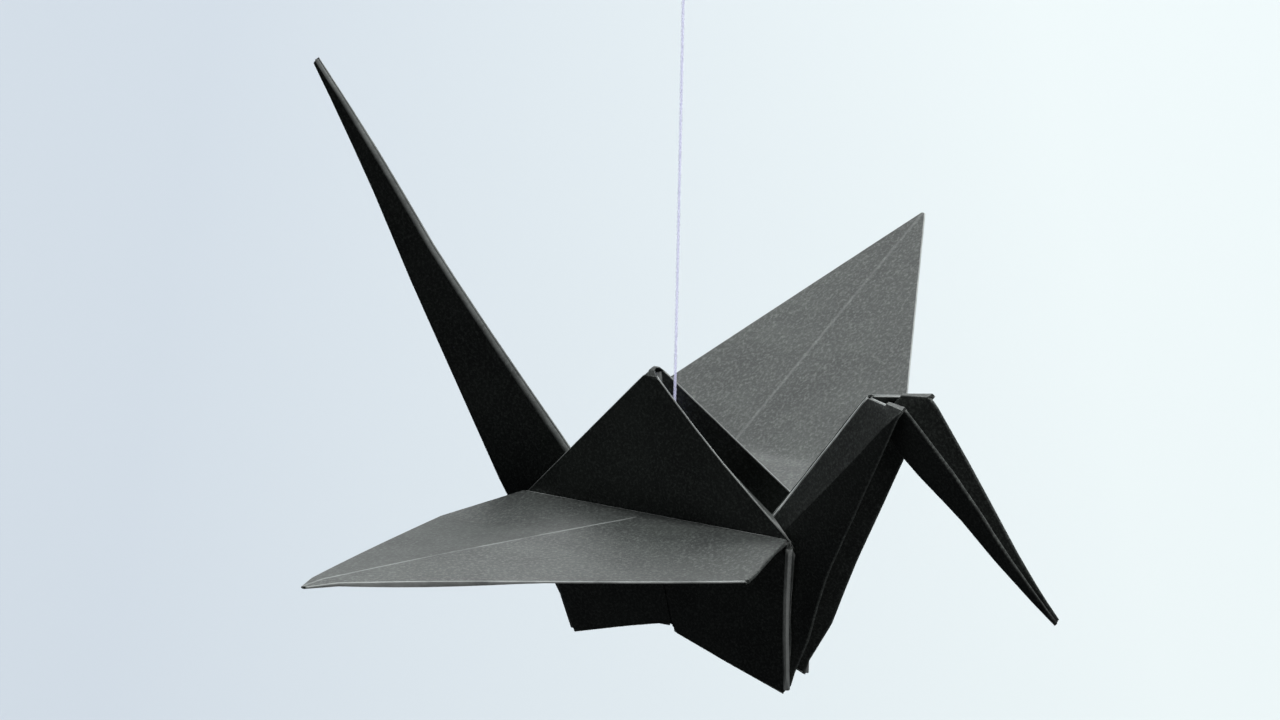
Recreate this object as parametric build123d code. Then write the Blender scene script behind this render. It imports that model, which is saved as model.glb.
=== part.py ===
from build123d import *
import os
from math import acos, asin, cos, degrees, pi, radians, sin, sqrt, tan

# Driving dimensions, millimetres and degrees
SIDE = 150.0               # side of the square sheet
SHEET = 0.11               # paper thickness
PITCH = 0.13               # spacing of stacked layers
NEAR_TILT = 5.2            # slope of the hump's right face away from the middle
FAR_TILT = 9.8             # slope of the hump's left face
NEAR_RISE = 8.5            # rise of the right wing at its root
FAR_RISE = -2.0            # rise of the left wing at its root
NEAR_CURL = 10.3           # further rise of the right wing's outer part
FAR_CURL = 16.5            # further rise of the left wing's outer part
NEAR_SWEEP = 4.4           # the right wing's tip stands this far behind the middle
FAR_SWEEP = 2.7            # the left wing's tip stands this far behind the middle
NECK_ANGLE = 38.4          # neck's ridge from the vertical
TAIL_ANGLE = 33.8          # tail's ridge from the vertical
NECK_RIDGE = 41.85         # neck's ridge from its root to the head fold
BEAK_ANGLE = 137.4         # beak's ridge from the vertical
HEAD_GAP = 2.6             # half the distance between the neck's open edges at the head
NOSE_UP = 7.1              # how far the hanging crane is turned nose up
THREAD = 0.40              # diameter of the thread
THREAD_FRONT = 2.83        # the thread stands this far in front of the hump's apex
THREAD_HEIGHT = 54.0       # the loop's tie stands this far above the apex
THREAD_BEND = 1.25         # radius of its bend into the pinhole
PINHOLE_DEPTH = 12.0       # the pinhole is this far below the apex
PINHOLE = 0.44             # diameter of the pinhole
STOP_KNOT = 1.10           # diameter of the knot that the crane hangs on
TIE_KNOT = 1.5             # diameter of the knot that closes the loop
LOOP_HEIGHT = 12.0         # from the tie to the loop's inner top
LOOP_WIDTH = 5.0           # across the loop's middle line

# The flat fold, as shares of the sheet's side; heights are from the petal fold
NARROW = tan(radians(11.25))
CORNER = tan(radians(22.5))
APEX = (sqrt(2) - 1) / 2
HINGE = (APEX - 0.5 * NARROW) / (1 + NARROW)
WING_CORNER = 0.5 * (CORNER - NARROW) / (CORNER + NARROW)
FOLDED_CORNER = sqrt(APEX ** 2 + 0.25) - 0.5
RIDGE = 4.5 * PITCH        # distance of the gussets from the middle at their ridge
NEST = 3.5 * PITCH         # distance of the neck's outer layer from the middle at its ridge
CLEAR = 0.03               # space between raw edges that meet
FLOORS = (0.5, 1.6, 2.7, 3.8)   # how far the layers turned under the body reach, in layer spacings
TRIM = 0.15                # folds end this far before a corner
TIGHT = 2 * PITCH          # a fold tighter than this is pressed into four narrow flats


def flat(u, v):
    """A place in the flat fold, in millimetres, with its height taken from the wing hinge."""
    return (u * SIDE, (v - HINGE) * SIDE)


def narrow_line(v):
    """A place on the narrowing fold at height v."""
    return flat((v + 0.5) * NARROW, v)


def plate(plane, points, level):
    """One flat panel of the sheet, centred on a level above a plane."""
    low = [plane.from_local_coords((u, v, level - SHEET / 2)) for u, v in points]
    return Solid.extrude(Face(Wire.make_polygon(low, close=True)), plane.z_dir * SHEET)


def bend(a, b, start, out, sweep, radius):
    """A round fold along the line from a to b, swept from the start direction towards out."""
    axis = (b - a).normalized()
    first = (start - axis * start.dot(axis)).normalized()
    side = axis.cross(first)
    if side.dot(out) < 0:
        side = side * -1

    def ring(r, share):
        turn = radians(sweep * share)
        return a + (first * cos(turn) + side * sin(turn)) * r

    big = radius + SHEET / 2
    small = radius - SHEET / 2
    if radius < TIGHT:
        flats = [k / 4 for k in range(5)]
        rim = [ring(big, share) for share in flats] + [ring(small, share) for share in reversed(flats)]
        return Solid.extrude(Face(Wire.make_polygon(rim, close=True)), b - a)
    outer = Edge.make_three_point_arc(ring(big, 0), ring(big, 0.5), ring(big, 1))
    inner = Edge.make_three_point_arc(ring(small, 1), ring(small, 0.5), ring(small, 0))
    ends = [Edge.make_line(ring(big, 1), ring(small, 1)), Edge.make_line(ring(small, 0), ring(big, 0))]
    return Solid.extrude(Face(Wire([outer, ends[0], inner, ends[1]])), b - a)


def fold(plane, start, end, low, high, out, trim=TRIM, sweep=180):
    """A fold that joins two levels over a plane along the line from start to end."""
    length = sqrt((end[0] - start[0]) ** 2 + (end[1] - start[1]) ** 2)
    step = ((end[0] - start[0]) / length, (end[1] - start[1]) / length)
    middle = (low + high) / 2
    a = plane.from_local_coords((start[0] + step[0] * trim, start[1] + step[1] * trim, middle))
    b = plane.from_local_coords((end[0] - step[0] * trim, end[1] - step[1] * trim, middle))
    away = plane.x_dir * out[0] + plane.y_dir * out[1]
    return bend(a, b, plane.z_dir, away, sweep, (high - low) / 2)


def shifted(start, end, by):
    """A line moved sideways, towards the right of its direction."""
    length = sqrt((end[0] - start[0]) ** 2 + (end[1] - start[1]) ** 2)
    across = ((end[1] - start[1]) / length * by, -(end[0] - start[0]) / length * by)
    return (start[0] + across[0], start[1] + across[1]), (end[0] + across[0], end[1] + across[1])


def through(a, b, c):
    """A plane on three places, with its front on the crane's right."""
    normal = (b - a).cross(c - a).normalized()
    if normal.Y > 0:
        normal = normal * -1
    return Plane(origin=a, x_dir=(b - a).normalized(), z_dir=normal)


def local(plane, point):
    """The place of a point in a plane, as two numbers."""
    spot = plane.to_local_coords(point)
    return (spot.X, spot.Y)


def hump_plane(tilt):
    """The hump's face: down from the apex, on the level of the gusset layer."""
    t = radians(tilt)
    return Plane(origin=(0, -RIDGE, 0), x_dir=(1, 0, 0), z_dir=(0, -cos(t), sin(t)))


def page_plane(tilt, root):
    """The body's side below the wing hinge, on the level of the gusset layer."""
    t = radians(tilt)
    hinge = (APEX - HINGE) * SIDE
    end = narrow_line(root[1] / SIDE + HINGE)
    lean = asin(sin(t) * (hinge - end[0]) / -root[1])
    origin = (0, -RIDGE - hinge * sin(t), -hinge * cos(t))
    return Plane(origin=origin, x_dir=(1, 0, 0), z_dir=(0, -cos(lean), -sin(lean)))


def root_corner(start, angle):
    """Where the reverse fold at the neck's or tail's root meets the narrowing fold."""
    drop = tan(radians(angle / 2))
    u = (start + 0.5) * NARROW / (1 + NARROW * drop)
    return flat(u, start - u * drop)


def apex_circle():
    """The round top that joins the hump's two faces: its middle, its radius, and each face's upper end."""
    n, f = radians(NEAR_TILT), radians(FAR_TILT)
    z = -0.9
    y = (RIDGE * (cos(f) - cos(n)) - z * (sin(f) - sin(n))) / (cos(n) + cos(f))
    radius = (RIDGE + y) * cos(n) - z * sin(n) + PITCH
    near_top = (RIDGE + y) * sin(n) + z * cos(n)
    far_top = (RIDGE - y) * sin(f) + z * cos(f)
    return y, z, radius, near_top, far_top


def apex_cap():
    """The short round fold over the apex."""
    y, z, radius, near_top, far_top = apex_circle()
    half = min(-near_top, -far_top)
    a = Vector(-half, y, z)
    b = Vector(half, y, z)
    start = Vector(0, -cos(radians(NEAR_TILT)), sin(radians(NEAR_TILT)))
    cap = bend(a, b, start, Vector(0, 0, 1), 180 - NEAR_TILT - FAR_TILT, radius)
    blunt = 0.35
    outline = [(-blunt, 0.1), (blunt, 0.1), (blunt, -blunt), (half, -half), (half, -2), (-half, -2),
               (-half, -half), (-blunt, -blunt)]
    wedge = Face(Wire.make_polygon([(u, -2, w) for u, w in outline], close=True))
    return cap.intersect(Solid.extrude(wedge, Vector(0, 4, 0))).solid()


def hump(tilt, top):
    """Half of one face of the hump, and the fold along its edge to the gusset."""
    plane = hump_plane(tilt)
    edge = (APEX - HINGE) * SIDE
    outline = [(0, -top), (top, -top), (edge, -edge), (edge, -edge - 0.04), (0, -edge - 0.04)]
    face = plate(plane, outline, PITCH)
    opening = degrees(sqrt(2) * sin(radians(tilt)))
    side = fold(plane, (top, -top), (edge, -edge), 0, PITCH, (1, 1), 0.2, 180 - opening)
    return [face, side]


def gusset(tilt, page, root, corner, top):
    """The layer from the hump's edge in to the ridge in the middle, with its half of the ridge fold."""
    t = radians(tilt)
    plane = Plane(origin=(0, -RIDGE, 0), x_dir=(cos(t), -sin(t), 0), z_dir=(-sin(t), -cos(t), 0))
    face = hump_plane(tilt)
    edge = (APEX - HINGE) * SIDE
    lap = 0.04
    first = local(plane, face.from_local_coords((top + lap, -top + lap, 0)))
    high = local(plane, face.from_local_coords((edge + lap, -edge + lap, 0)))
    low = local(plane, page.from_local_coords((corner[0], corner[1], 0)))
    ridge = RIDGE + SHEET / 2 + CLEAR / 2
    bottom = local(plane, page.from_local_coords((0, root[1], 0)))[1]
    inner = ridge * cos(t) - RIDGE * sin(t)
    drop = 0.5 * PITCH + SHEET / 2
    head_z = first[1] - lap
    foot = [(low[0] + lap, low[1]), (low[0] + lap, low[1] - drop), (inner, bottom - drop)]
    sheet = plate(plane, [(inner, head_z), first, high] + foot, 0)
    a = Vector(ridge, 0, bottom)
    b = Vector(ridge, 0, head_z)
    radius = RIDGE * cos(t) + ridge * sin(t)
    half = bend(a, b, Vector(-sin(t), -cos(t), 0), Vector(-1, 0, 0), 90 - tilt, radius)
    return [sheet, half]


def page_places(root, corner):
    """The places that the body's panels and folds share."""
    hinge_end = narrow_line(HINGE)
    petal_end = narrow_line(0)
    star = flat(0, FOLDED_CORNER)
    notch = ((HINGE - FOLDED_CORNER) * SIDE, 0)
    top = (hinge_end[0] - 0.5 * NARROW, hinge_end[1] - 0.5)
    in_fold = 1.5 * PITCH + SHEET / 2 + CLEAR / 2
    return hinge_end, petal_end, star, notch, top, in_fold


def lower_edge(root, corner, drop, inner):
    """The lower corners of a body panel that reaches down by drop past the root fold."""
    end, start = shifted(corner, root, -drop)
    slope = (start[1] - end[1]) / (start[0] - end[0])
    return [corner, end, (inner, start[1] + slope * (inner - start[0]))]


def page_layers(page, root, corner):
    """The stacked panels of one quarter of the body, layer numbers counted from the inside."""
    hinge_end, petal_end, star, notch, top, in_fold = page_places(root, corner)
    lap = SHEET / 2
    raw = CLEAR / 2
    over = (hinge_end[0] + 0.03 * NARROW, 0.03)
    star_45 = (in_fold, star[1] + in_fold)
    star_22 = (in_fold, star[1] + in_fold * CORNER)
    shelf = (top[0] - 0.4, top[1] - 0.4 * CORNER)
    steps = zip(FLOORS[1:], (raw, in_fold, in_fold))
    low = [lower_edge(root, corner, k * PITCH + lap, n) for k, n in steps]
    layers = [
        plate(page, [(0, 0.03), over, petal_end, (0, petal_end[1])], PITCH),
        plate(page, [(0, 0), hinge_end, petal_end, (0, petal_end[1])], 2 * PITCH),
        plate(page, [(raw, 0), hinge_end] + low[0], 3 * PITCH),
        plate(page, [star_45, notch, hinge_end] + low[1], 4 * PITCH),
        plate(page, [petal_end, star_45, notch, hinge_end], 5 * PITCH),
        plate(page, [petal_end, star_22, shelf, top], 6 * PITCH),
        plate(page, [star_22, shelf, top] + low[2], 7 * PITCH),
    ]
    return layers


def page_folds(page, root, corner):
    """The round folds of one quarter of the body."""
    hinge_end, petal_end, star, notch, top, in_fold = page_places(root, corner)
    out = (1, -NARROW)
    star_45 = (in_fold, star[1] + in_fold)
    star_22 = (in_fold, star[1] + in_fold * CORNER)
    shelf = (top[0] - 0.4, top[1] - 0.4 * CORNER)
    level = [PITCH * k for k in range(8)]
    folds = [
        fold(page, top, corner, level[0], level[7], out, 0.0),
        fold(page, top, petal_end, level[1], level[6], out, 0.0),
        fold(page, top, petal_end, level[2], level[5], out, 0.0),
        fold(page, top, corner, level[3], level[4], out, 0.0),
        fold(page, (0, petal_end[1]), (petal_end[0] - TRIM, petal_end[1]), level[1], level[2], (0, -1), 0.0),
        fold(page, (in_fold, star[1] - 0.3), (in_fold, root[1] - 0.1), level[4], level[7], (-1, 0), 0.0),
        fold(page, star_45, notch, level[4], level[5], (-1, 1), 0.2),
        fold(page, star_22, shelf, level[6], level[7], (-1, 2), 0.2),
    ]
    away = (star_45[0] - petal_end[0], star_45[1] - petal_end[1])
    fold_a = (petal_end[0] + away[0] * 0.02, petal_end[1] + away[1] * 0.02)
    fold_b = (petal_end[0] + away[0] * 0.94, petal_end[1] + away[1] * 0.94)
    folds.append(fold(page, fold_a, fold_b, level[5], level[6], (-1, -2), 0.0))
    return folds


def wing(page, rise, curl, sweep):
    """Half of one wing: its top sheet, its under sheet, the two folded corners, and the hinge bends."""
    axis_level = 6 * PITCH
    hinge_end = narrow_line(HINGE)
    notch_u = (HINGE - FOLDED_CORNER) * SIDE
    corner = (narrow_line(WING_CORNER)[0], (WING_CORNER - HINGE) * SIDE)
    tip = (0.5 - HINGE) * SIDE
    lean = degrees(asin(page.z_dir.Z))
    turn = 90 - rise + lean
    origin = page.from_local_coords((0, 0, axis_level))
    r = radians(rise)
    plane = Plane(origin=origin, x_dir=(1, 0, 0), z_dir=(0, sin(r), cos(r)))
    flip = [(u, -v) for u, v in [(hinge_end[0], 0), corner]]
    raw = CLEAR / 2
    parts = []
    skew = sweep * corner[1] / tip
    parts.append(plate(plane, [(0, 0), flip[0], flip[1], (-skew, -corner[1])], 4 * PITCH))
    parts.append(plate(plane, [(raw, 0), flip[0], flip[1], (raw - skew, -corner[1])], 3 * PITCH))
    parts.append(plate(plane, [(notch_u, 0), flip[0], flip[1]], 2 * PITCH))
    parts.append(plate(plane, [(notch_u, 0), flip[0], flip[1]], PITCH))
    side = (1, -NARROW)
    parts.append(fold(plane, flip[0], flip[1], 2 * PITCH, 3 * PITCH, side, 0.5))
    parts.append(fold(plane, flip[0], flip[1], PITCH, 4 * PITCH, side, 0.5))
    parts.append(fold(plane, (notch_u, 0), flip[1], PITCH, 2 * PITCH, (-1, -1), 0.5))
    for layer, first, last in ((2, 0, hinge_end[0]), (3, raw, hinge_end[0]),
                               (4, notch_u, hinge_end[0]), (5, notch_u, hinge_end[0])):
        a = page.from_local_coords((first + (0.2 if layer > 3 else 0), 0, axis_level))
        b = page.from_local_coords((last - 0.3, 0, axis_level))
        parts.append(bend(a, b, page.z_dir * -1, page.y_dir, turn, (6 - layer) * PITCH))
    parts += outer_wing(plane, corner, tip, curl, sweep)
    return parts


def outer_wing(inner, corner, tip, curl, sweep):
    """The wing beyond its corner, raised further, with the round fold of its edge."""
    c = radians(curl)
    height = inner.z_dir * (4 * PITCH)
    origin = inner.from_local_coords((0, -corner[1], 0)) + height
    up = inner.z_dir * cos(c) + inner.y_dir * sin(c)
    plane = Plane(origin=origin, x_dir=(1, 0, 0), z_dir=up)
    span = tip - corner[1]
    cut = 0.4
    skew = sweep * corner[1] / tip
    blunt = corner[0] * cut / span
    point = (-sweep + blunt, -span + cut)
    middle = (-sweep, -span + cut)
    raw = CLEAR / 2
    top = plate(plane, [(-skew, 0.05), (corner[0], 0.05), (corner[0], 0), point, middle], 0)
    under = plate(plane, [(raw - skew, 0.05), (corner[0], 0.05), (corner[0], 0), point,
                          (middle[0] + raw, middle[1])], -PITCH)
    edge = fold(plane, (corner[0], 0), point, -PITCH, 0, (1, -0.4), 0.1)
    return [top, under, edge]


def leaf_plane(start, along, forward, width, gap, radius):
    """A leaf's plane: it touches the ridge's round and has its open edge at a given gap from the middle."""
    reach = sqrt(width ** 2 + radius ** 2 - gap ** 2)
    spread = asin(gap / sqrt(reach ** 2 + gap ** 2)) - asin(radius / sqrt(width ** 2 + radius ** 2))
    normal = forward * -sin(spread) + Vector(0, -cos(spread), 0)
    across = forward * cos(spread) + Vector(0, -sin(spread), 0)
    return Plane(origin=start + normal * radius, x_dir=along, z_dir=normal), across, degrees(spread)


def panel_strip(corners):
    """A narrow panel under the body that joins a page's lower edge to a leaf's lower edge."""
    a, b, c, d = corners
    normal = (c - a).cross(d - b).normalized()
    middle = (a + b + c + d) * 0.25
    plane = Plane(origin=middle, x_dir=(b - a).normalized(), z_dir=normal)
    return plate(plane, [local(plane, p) for p in corners], 0)


def root_floors(page, leaf, root, corner, leaf_root, leaf_corner, sign):
    """The four layers turned under the body, from page to leaf."""
    parts = []
    in_fold = 1.5 * PITCH + SHEET / 2 + CLEAR / 2
    lap = SHEET / 2
    table = ((0, 0, in_fold), (3, -1, 0.03), (4, -2, in_fold), (7, -3, in_fold))
    for (outside, inside, inner), share in zip(table, FLOORS):
        drop = share * PITCH
        end, start = shifted(corner, root, -drop)
        slope = (start[1] - end[1]) / (start[0] - end[0])
        start = (inner, start[1] + slope * (inner - start[0]))
        low_start, low_end = shifted(leaf_root, leaf_corner, drop * sign)
        step = ((low_end[0] - low_start[0]) * 0.03, (low_end[1] - low_start[1]) * 0.03)
        low_start = (low_start[0] + step[0], low_start[1] + step[1])
        a = page.from_local_coords((start[0] + 0.3, start[1] + slope * 0.3, outside * PITCH + lap))
        b = page.from_local_coords((end[0], end[1], outside * PITCH + lap))
        c = leaf.from_local_coords((low_end[0], low_end[1], inside * PITCH - lap))
        d = leaf.from_local_coords((low_start[0], low_start[1], inside * PITCH - lap))
        parts.append(panel_strip([a, b, c, d]))
    return parts


def root_frame(page, root, corner, angle):
    """The leaf's start on the ridge, its directions, and its lower corner just inside the gusset."""
    ridge = RIDGE + SHEET / 2 + CLEAR / 2
    low = page.from_local_coords((corner[0], corner[1], 0))
    start = Vector(ridge, 0, page.from_local_coords((0, root[1], 0)).Z)
    along = Vector(sin(radians(angle)), 0, cos(radians(angle)))
    forward = Vector(cos(radians(angle)), 0, -sin(radians(angle)))
    return start, along, forward, Vector(low.X, low.Y + PITCH, low.Z)


def leaf_panels(plane, points, drops, insets, sign):
    """Four stacked panels: points run root, ridge end, edge end, lower corner; the inner ones reach lower."""
    root, end, edge, away = points
    parts = []
    for number in range(4):
        low = shifted(root, away, drops[number] * sign)
        inset = insets[number]
        slope = (low[1][0] - low[0][0]) / (low[1][1] - low[0][1])
        start = (low[0][0] + slope * (inset * sign - low[0][1]), inset * sign)
        outline = [start, (end[0], inset * sign), edge, away, low[1]]
        parts.append(plate(plane, outline, -number * PITCH))
    return parts


DROPS = [k * PITCH + SHEET / 2 for k in FLOORS]
FOLD_IN = 0.2
CREASE = 0.5                # the head's layers meet the neck's from this share of their crease


def tail(page, root, corner, angle, start_v):
    """One leaf of the tail, from the root to its point."""
    start, along, forward, foot = root_frame(page, root, corner, angle)
    whole = (0.5 + start_v) * SIDE
    gap = -foot.Y
    run = (foot - start).dot(along)
    width = (whole - run) * NARROW
    plane, across, spread = leaf_plane(start, along, forward, width, gap, NEST)
    away = local(plane, foot)
    sign = 1 if away[1] > 0 else -1
    cut = 1.4
    edge = (whole - cut, sign * cut * NARROW)
    points = [(0, 0), (whole - cut, 0), edge, away]
    parts = leaf_panels(plane, points, DROPS, (0.0, 0.1, FOLD_IN, FOLD_IN), sign)
    parts.append(fold(plane, away, edge, -2 * PITCH, -PITCH, (0.2, sign), 0.1))
    parts.append(fold(plane, away, edge, -3 * PITCH, 0, (0.2, sign), 0.1))
    seam = FOLD_IN * sign
    parts.append(fold(plane, (0.8, seam), (whole - cut, seam), -3 * PITCH, -2 * PITCH, (0, -sign), 0.0))
    parts.append(bend(start, start + along * (whole - cut), plane.z_dir, forward * -1, 90 - spread, NEST))
    parts += root_floors(page, plane, root, corner, (0, 0), away, sign)
    return parts


def neck(page, root, corner, angle, start_v):
    """One leaf of the neck in two flats, and the half of the head folded down inside it."""
    start, along, forward, foot = root_frame(page, root, corner, angle)
    beyond = (0.5 + start_v) * SIDE - NECK_RIDGE
    turn = tan(radians((BEAK_ANGLE - angle) / 2))
    width = beyond * NARROW / (1 + NARROW / turn)
    high, across, spread = leaf_plane(start, along, forward, width, HEAD_GAP, NEST)
    crown = start + along * NECK_RIDGE
    chin = high.origin + along * (NECK_RIDGE + width / turn) + across * width
    low = through(high.origin, foot, chin)
    parts = lower_flat(low, local(low, foot), local(low, chin), page, root, corner)
    parts += upper_flat(high, local(high, chin), forward, start, crown, spread)
    parts += head(high, crown, chin, beyond, width)
    return parts


def lower_flat(plane, away, chin, page, root, corner):
    """The neck's flat beside its open edge, with the folds of that edge and of the root."""
    sign = 1 if chin[1] > 0 else -1
    parts = []
    over = shifted(chin, (0, 0), 0.06 * sign)
    slope = chin[0] / chin[1]
    for number in range(4):
        low = shifted((0, 0), away, -DROPS[number] * sign)
        start = (over[1][0] + slope * (low[0][1] - over[1][1]), low[0][1])
        parts.append(plate(plane, [start, low[1], away, chin, over[0]], -number * PITCH))
    out = (1, -0.5 * sign)
    parts.append(fold(plane, away, chin, -2 * PITCH, -PITCH, out, 0.1))
    parts.append(fold(plane, away, chin, -3 * PITCH, 0, out, 0.1))
    parts += root_floors(page, plane, root, corner, (0, 0), away, -sign)
    return parts


def upper_flat(plane, chin, forward, start, top, spread):
    """The neck's flat beside its ridge, with the ridge fold and the folded inner edge."""
    sign = 1 if chin[1] > 0 else -1
    parts = []
    slope = chin[0] / chin[1]
    rise = (chin[0] - NECK_RIDGE) / chin[1]
    for inset, number in ((0.0, 0), (0.1, 1), (FOLD_IN, 2), (FOLD_IN, 3)):
        v = inset * sign
        points = [(slope * v, v), (NECK_RIDGE + rise * v, v)]
        crest = crease_line((NECK_RIDGE, 0), chin, sign, number)
        parts.append(plate(plane, points + crest + [chin], -number * PITCH))
    seam = FOLD_IN * sign
    parts.append(fold(plane, (2.0, seam), (NECK_RIDGE, seam), -3 * PITCH, -2 * PITCH, (0, -sign), 0.0))
    parts.append(bend(start, top, plane.z_dir, forward * -1, 90 - spread, NEST))
    return parts


def crease_line(crown, chin, sign, number):
    """The upper edge of one layer along the head's crease: a foot on the crease, then its two ends."""
    foot = (crown[0] + (chin[0] - crown[0]) * CREASE, crown[1] + (chin[1] - crown[1]) * CREASE)
    lift = FLOORS[3 - number] * PITCH
    raised, end = shifted(foot, chin, lift * sign)
    back = ((foot[0] - chin[0]) * 0.04, (foot[1] - chin[1]) * 0.04)
    return [foot, raised, (end[0] + back[0], end[1] + back[1])]


def head(neck_plane, crown, chin, length, width):
    """Half of the head: four layers turned down between the neck's leaves."""
    down = Vector(sin(radians(BEAK_ANGLE)), 0, cos(radians(BEAK_ANGLE)))
    front = Vector(-cos(radians(BEAK_ANGLE)), 0, sin(radians(BEAK_ANGLE)))
    slack = 0.15
    plane, across, spread = leaf_plane(crown, down, front, width, HEAD_GAP - 7 * PITCH - slack, PITCH)
    high = local(plane, chin)
    sign = 1 if high[1] > 0 else -1
    high = (high[0], sign * width)
    cut = 1.4
    start = 2.5
    far = length - cut
    edge = (far, cut * NARROW * sign)
    parts = []
    tip = local(neck_plane, chin)
    for number, inset in enumerate((0.0, 0.1, FOLD_IN, FOLD_IN)):
        crest = crease_line((0, 0), high, -sign, number)
        points = [(start, inset * sign), (far, inset * sign), edge, high, crest[2], crest[1], crest[0]]
        parts.append(plate(plane, points, number * PITCH))
        outer = crease_line((NECK_RIDGE, 0), tip, 1 if tip[1] > 0 else -1, number)
        lap = SHEET / 2
        a = neck_plane.from_local_coords((outer[1][0], outer[1][1], -number * PITCH + lap))
        b = neck_plane.from_local_coords((outer[2][0], outer[2][1], -number * PITCH + lap))
        c = plane.from_local_coords((crest[2][0], crest[2][1], number * PITCH - lap))
        d = plane.from_local_coords((crest[1][0], crest[1][1], number * PITCH - lap))
        parts.append(panel_strip([a, b, c, d]))
    parts.append(fold(plane, high, edge, PITCH, 2 * PITCH, (0.2, sign), 0.1))
    parts.append(fold(plane, high, edge, 0, 3 * PITCH, (0.2, sign), 0.1))
    seam = FOLD_IN * sign
    parts.append(fold(plane, (start, seam), (far, seam), 2 * PITCH, 3 * PITCH, (0, -sign), 0.0))
    a = crown + down * start
    parts.append(bend(a, crown + down * far, plane.z_dir, front * -1, 90 - spread, PITCH))
    return parts


def quarter(tilt, rise, curl, sweep, angle, top, make_leaf):
    """One quarter of the crane: its right front; the others are made alike and mirrored."""
    root = flat(0, 0.0)
    corner = root_corner(0.0, angle)
    page = page_plane(tilt, corner)
    parts = hump(tilt, top)
    parts += gusset(tilt, page, root, corner, top)
    parts += page_layers(page, root, corner)
    parts += page_folds(page, root, corner)
    parts += wing(page, rise, curl, sweep)
    parts += make_leaf(page, root, corner, angle, 0.0)
    return parts


def side_parts(tilt, rise, curl, sweep, top):
    """One side of the crane: the neck's quarter, and the tail's quarter mirrored."""
    front = quarter(tilt, rise, curl, sweep, NECK_ANGLE, top, neck)
    rear = quarter(tilt, rise, curl, -sweep, TAIL_ANGLE, top, tail)
    return front + [piece.mirror(Plane.YZ) for piece in rear]


def folded_sheet():
    """The whole sheet as one solid."""
    circle = apex_circle()
    right = side_parts(NEAR_TILT, NEAR_RISE, NEAR_CURL, NEAR_SWEEP, -circle[3])
    left = side_parts(FAR_TILT, FAR_RISE, FAR_CURL, FAR_SWEEP, -circle[4])
    return right + [piece.mirror(Plane.XZ) for piece in left] + [apex_cap()]


def hook_height():
    """The loop's inner top above the crane's apex."""
    return THREAD_HEIGHT + TIE_KNOT + LOOP_HEIGHT


def hung(shape):
    """A shape in the crane's own frame, turned nose up and moved under the hanging point."""
    front = THREAD_FRONT * cos(radians(NOSE_UP))
    return shape.rotate(Axis.Y, -NOSE_UP).translate((-front, 0, -hook_height()))


def hung_point(x, y, z):
    """A place in the crane's own frame, in the part's frame."""
    turn = radians(NOSE_UP)
    front = THREAD_FRONT * cos(turn)
    return Vector(x * cos(turn) - z * sin(turn) - front, y, x * sin(turn) + z * cos(turn) - hook_height())


def tie_foot():
    """Where the thread meets the flat under the loop's knot."""
    return Vector(0, 0, -LOOP_HEIGHT - TIE_KNOT * 0.85)


def thread_route():
    """The thread's points: straight down between the gussets, then out through the left one."""
    t = radians(FAR_TILT)
    x = THREAD_FRONT - PINHOLE_DEPTH * tan(radians(NOSE_UP))
    hole = hung_point(x, RIDGE / cos(t) + x * tan(t), -PINHOLE_DEPTH)
    step = Vector(0, sin(radians(60)), -cos(radians(60)))
    corner = hole - step * (hole.Y / step.Y)
    end = hole + step * 0.34
    return [tie_foot(), corner, end], step


def hanging_thread():
    """The taut thread: straight runs, and a round bend just before the pinhole."""
    points, step = thread_route()
    path = FilletPolyline(*points, radius=THREAD_BEND)
    section = Plane(origin=path @ 0, z_dir=path % 0) * Circle(THREAD / 2)
    tube = sweep(section, path=path).solid()
    whole = pi * THREAD ** 2 / 4 * path.length
    print("thread bend radius", THREAD_BEND, "length", round(path.length, 2), "volume", tube.volume / whole)
    return tube


def pinhole():
    """The slanted hole that the thread goes through in the left gusset."""
    points, step = thread_route()
    start = points[1] + step * (THREAD_BEND * tan(radians(30)) + 0.02)
    length = (points[2] - start).length
    return Solid.make_cylinder(PINHOLE / 2, length, Plane(origin=start, z_dir=step))


def knot(plane, size, mouth):
    """A small tight knot: a barrel along the plane's normal, flat at both ends; mouth is its first end's share."""
    half = size / 2
    profile = [(0, 0), (half * mouth, 0), (half, size * 0.25), (half, size * 0.6), (half * 0.6, size * 0.85),
               (0, size * 0.85)]
    rim = [plane.from_local_coords((u, 0, w)) for u, w in profile]
    return Solid.revolve(Face(Wire.make_polygon(rim, close=True)), 360, Axis(plane.origin, plane.z_dir))


def stop_knot():
    """The knot at the thread's lower end, flat where the thread enters it."""
    points, step = thread_route()
    return knot(Plane(origin=points[2], z_dir=step), STOP_KNOT, 0.55)


def hanging_loop():
    """The loop tied at the thread's top, with its knot, to go over a hook."""
    half = LOOP_WIDTH / 2
    centre = Vector(0, 0, THREAD / 2 - half)
    low = Vector(0.3, 0, -LOOP_HEIGHT - TIE_KNOT * 0.3)
    away = (low - centre).length
    open_angle = acos(half / away) - asin(0.3 / away)
    touch = centre + Vector(sin(open_angle), 0, -cos(open_angle)) * half
    crown = Plane(origin=centre, x_dir=touch - centre, z_dir=(0, -1, 0))
    arch = Solid.make_torus(half, THREAD / 2, crown, 0, 360, 360 - 2 * degrees(open_angle))
    leg = Solid.make_cylinder(THREAD / 2, (touch - low).length, Plane(origin=low, z_dir=touch - low))
    tie = knot(Plane(origin=(0, 0, -LOOP_HEIGHT), z_dir=(0, 0, -1)), TIE_KNOT, 0.9)
    return tie.fuse(arch, leg, leg.mirror(Plane.YZ)).solid()


def hung_sheet():
    """The folded sheet as it hangs, with its pinhole."""
    solids = folded_sheet()
    body = solids[0].fuse(*solids[1:]).solid()
    return hung(body).cut(pinhole()).solid()


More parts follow.
